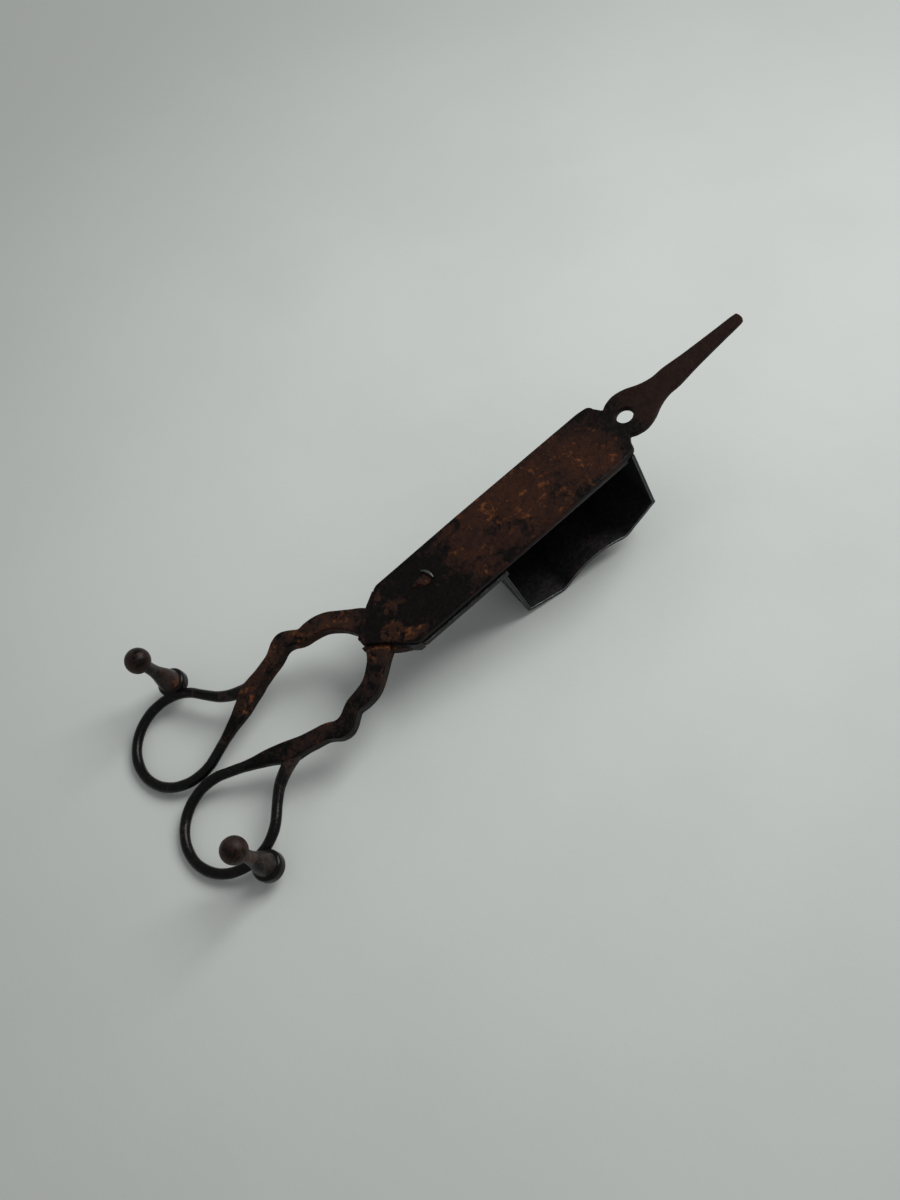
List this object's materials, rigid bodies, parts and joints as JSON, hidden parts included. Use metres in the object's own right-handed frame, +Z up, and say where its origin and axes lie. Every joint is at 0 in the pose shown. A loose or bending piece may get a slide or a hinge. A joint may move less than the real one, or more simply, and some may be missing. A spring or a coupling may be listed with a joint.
{
  "type": "candle wick trimmer",
  "caption": "Iron wick trimmer lying feet up: crossed scissor levers with finger bows, shear blade and presser, open snuff box, spike and turned ball feet.",
  "frame": {"origin": "on the ground under the middle of the bounding box, as the trimmer lies feet up", "axes": "+X towards the spike, +Y towards the knife lever's bow, +Z up"},
  "size_m": [0.165, 0.0604, 0.0414],
  "materials": {
    "plate_iron": "old forged iron, brown rust bloom",
    "lever_iron": "dark patinated forged iron",
    "foot_iron": "turned, dark patina",
    "box_sheet": "blackened sheet, worn edges",
    "blade_steel": "worn grey steel"
  },
  "bodies": {
    "pan_side": {"base_plate": "plate_iron", "box_rear_wall": "box_sheet", "box_front_wall": "box_sheet", "box_roof": "box_sheet", "box_side_wall": "box_sheet", "pan_lever": "lever_iron", "pan_foot": "foot_iron", "pivot_pin": "lever_iron", "pivot_cotter": "blade_steel"},
    "knife_side": {"knife_lever": "lever_iron", "cutting_blade": "blade_steel", "presser_plate": "blade_steel", "blade_rivets": "blade_steel", "knife_foot": "foot_iron"}
  },
  "joints": [
    {"name": "blade_pivot", "type": "hinge", "parent": "pan_side", "child": "knife_side", "pos_m": [-0.00518, 0.00051, 0.01702], "axis": [0.2243, 0, -0.9745], "range_deg": [0, 35]}
  ]
}
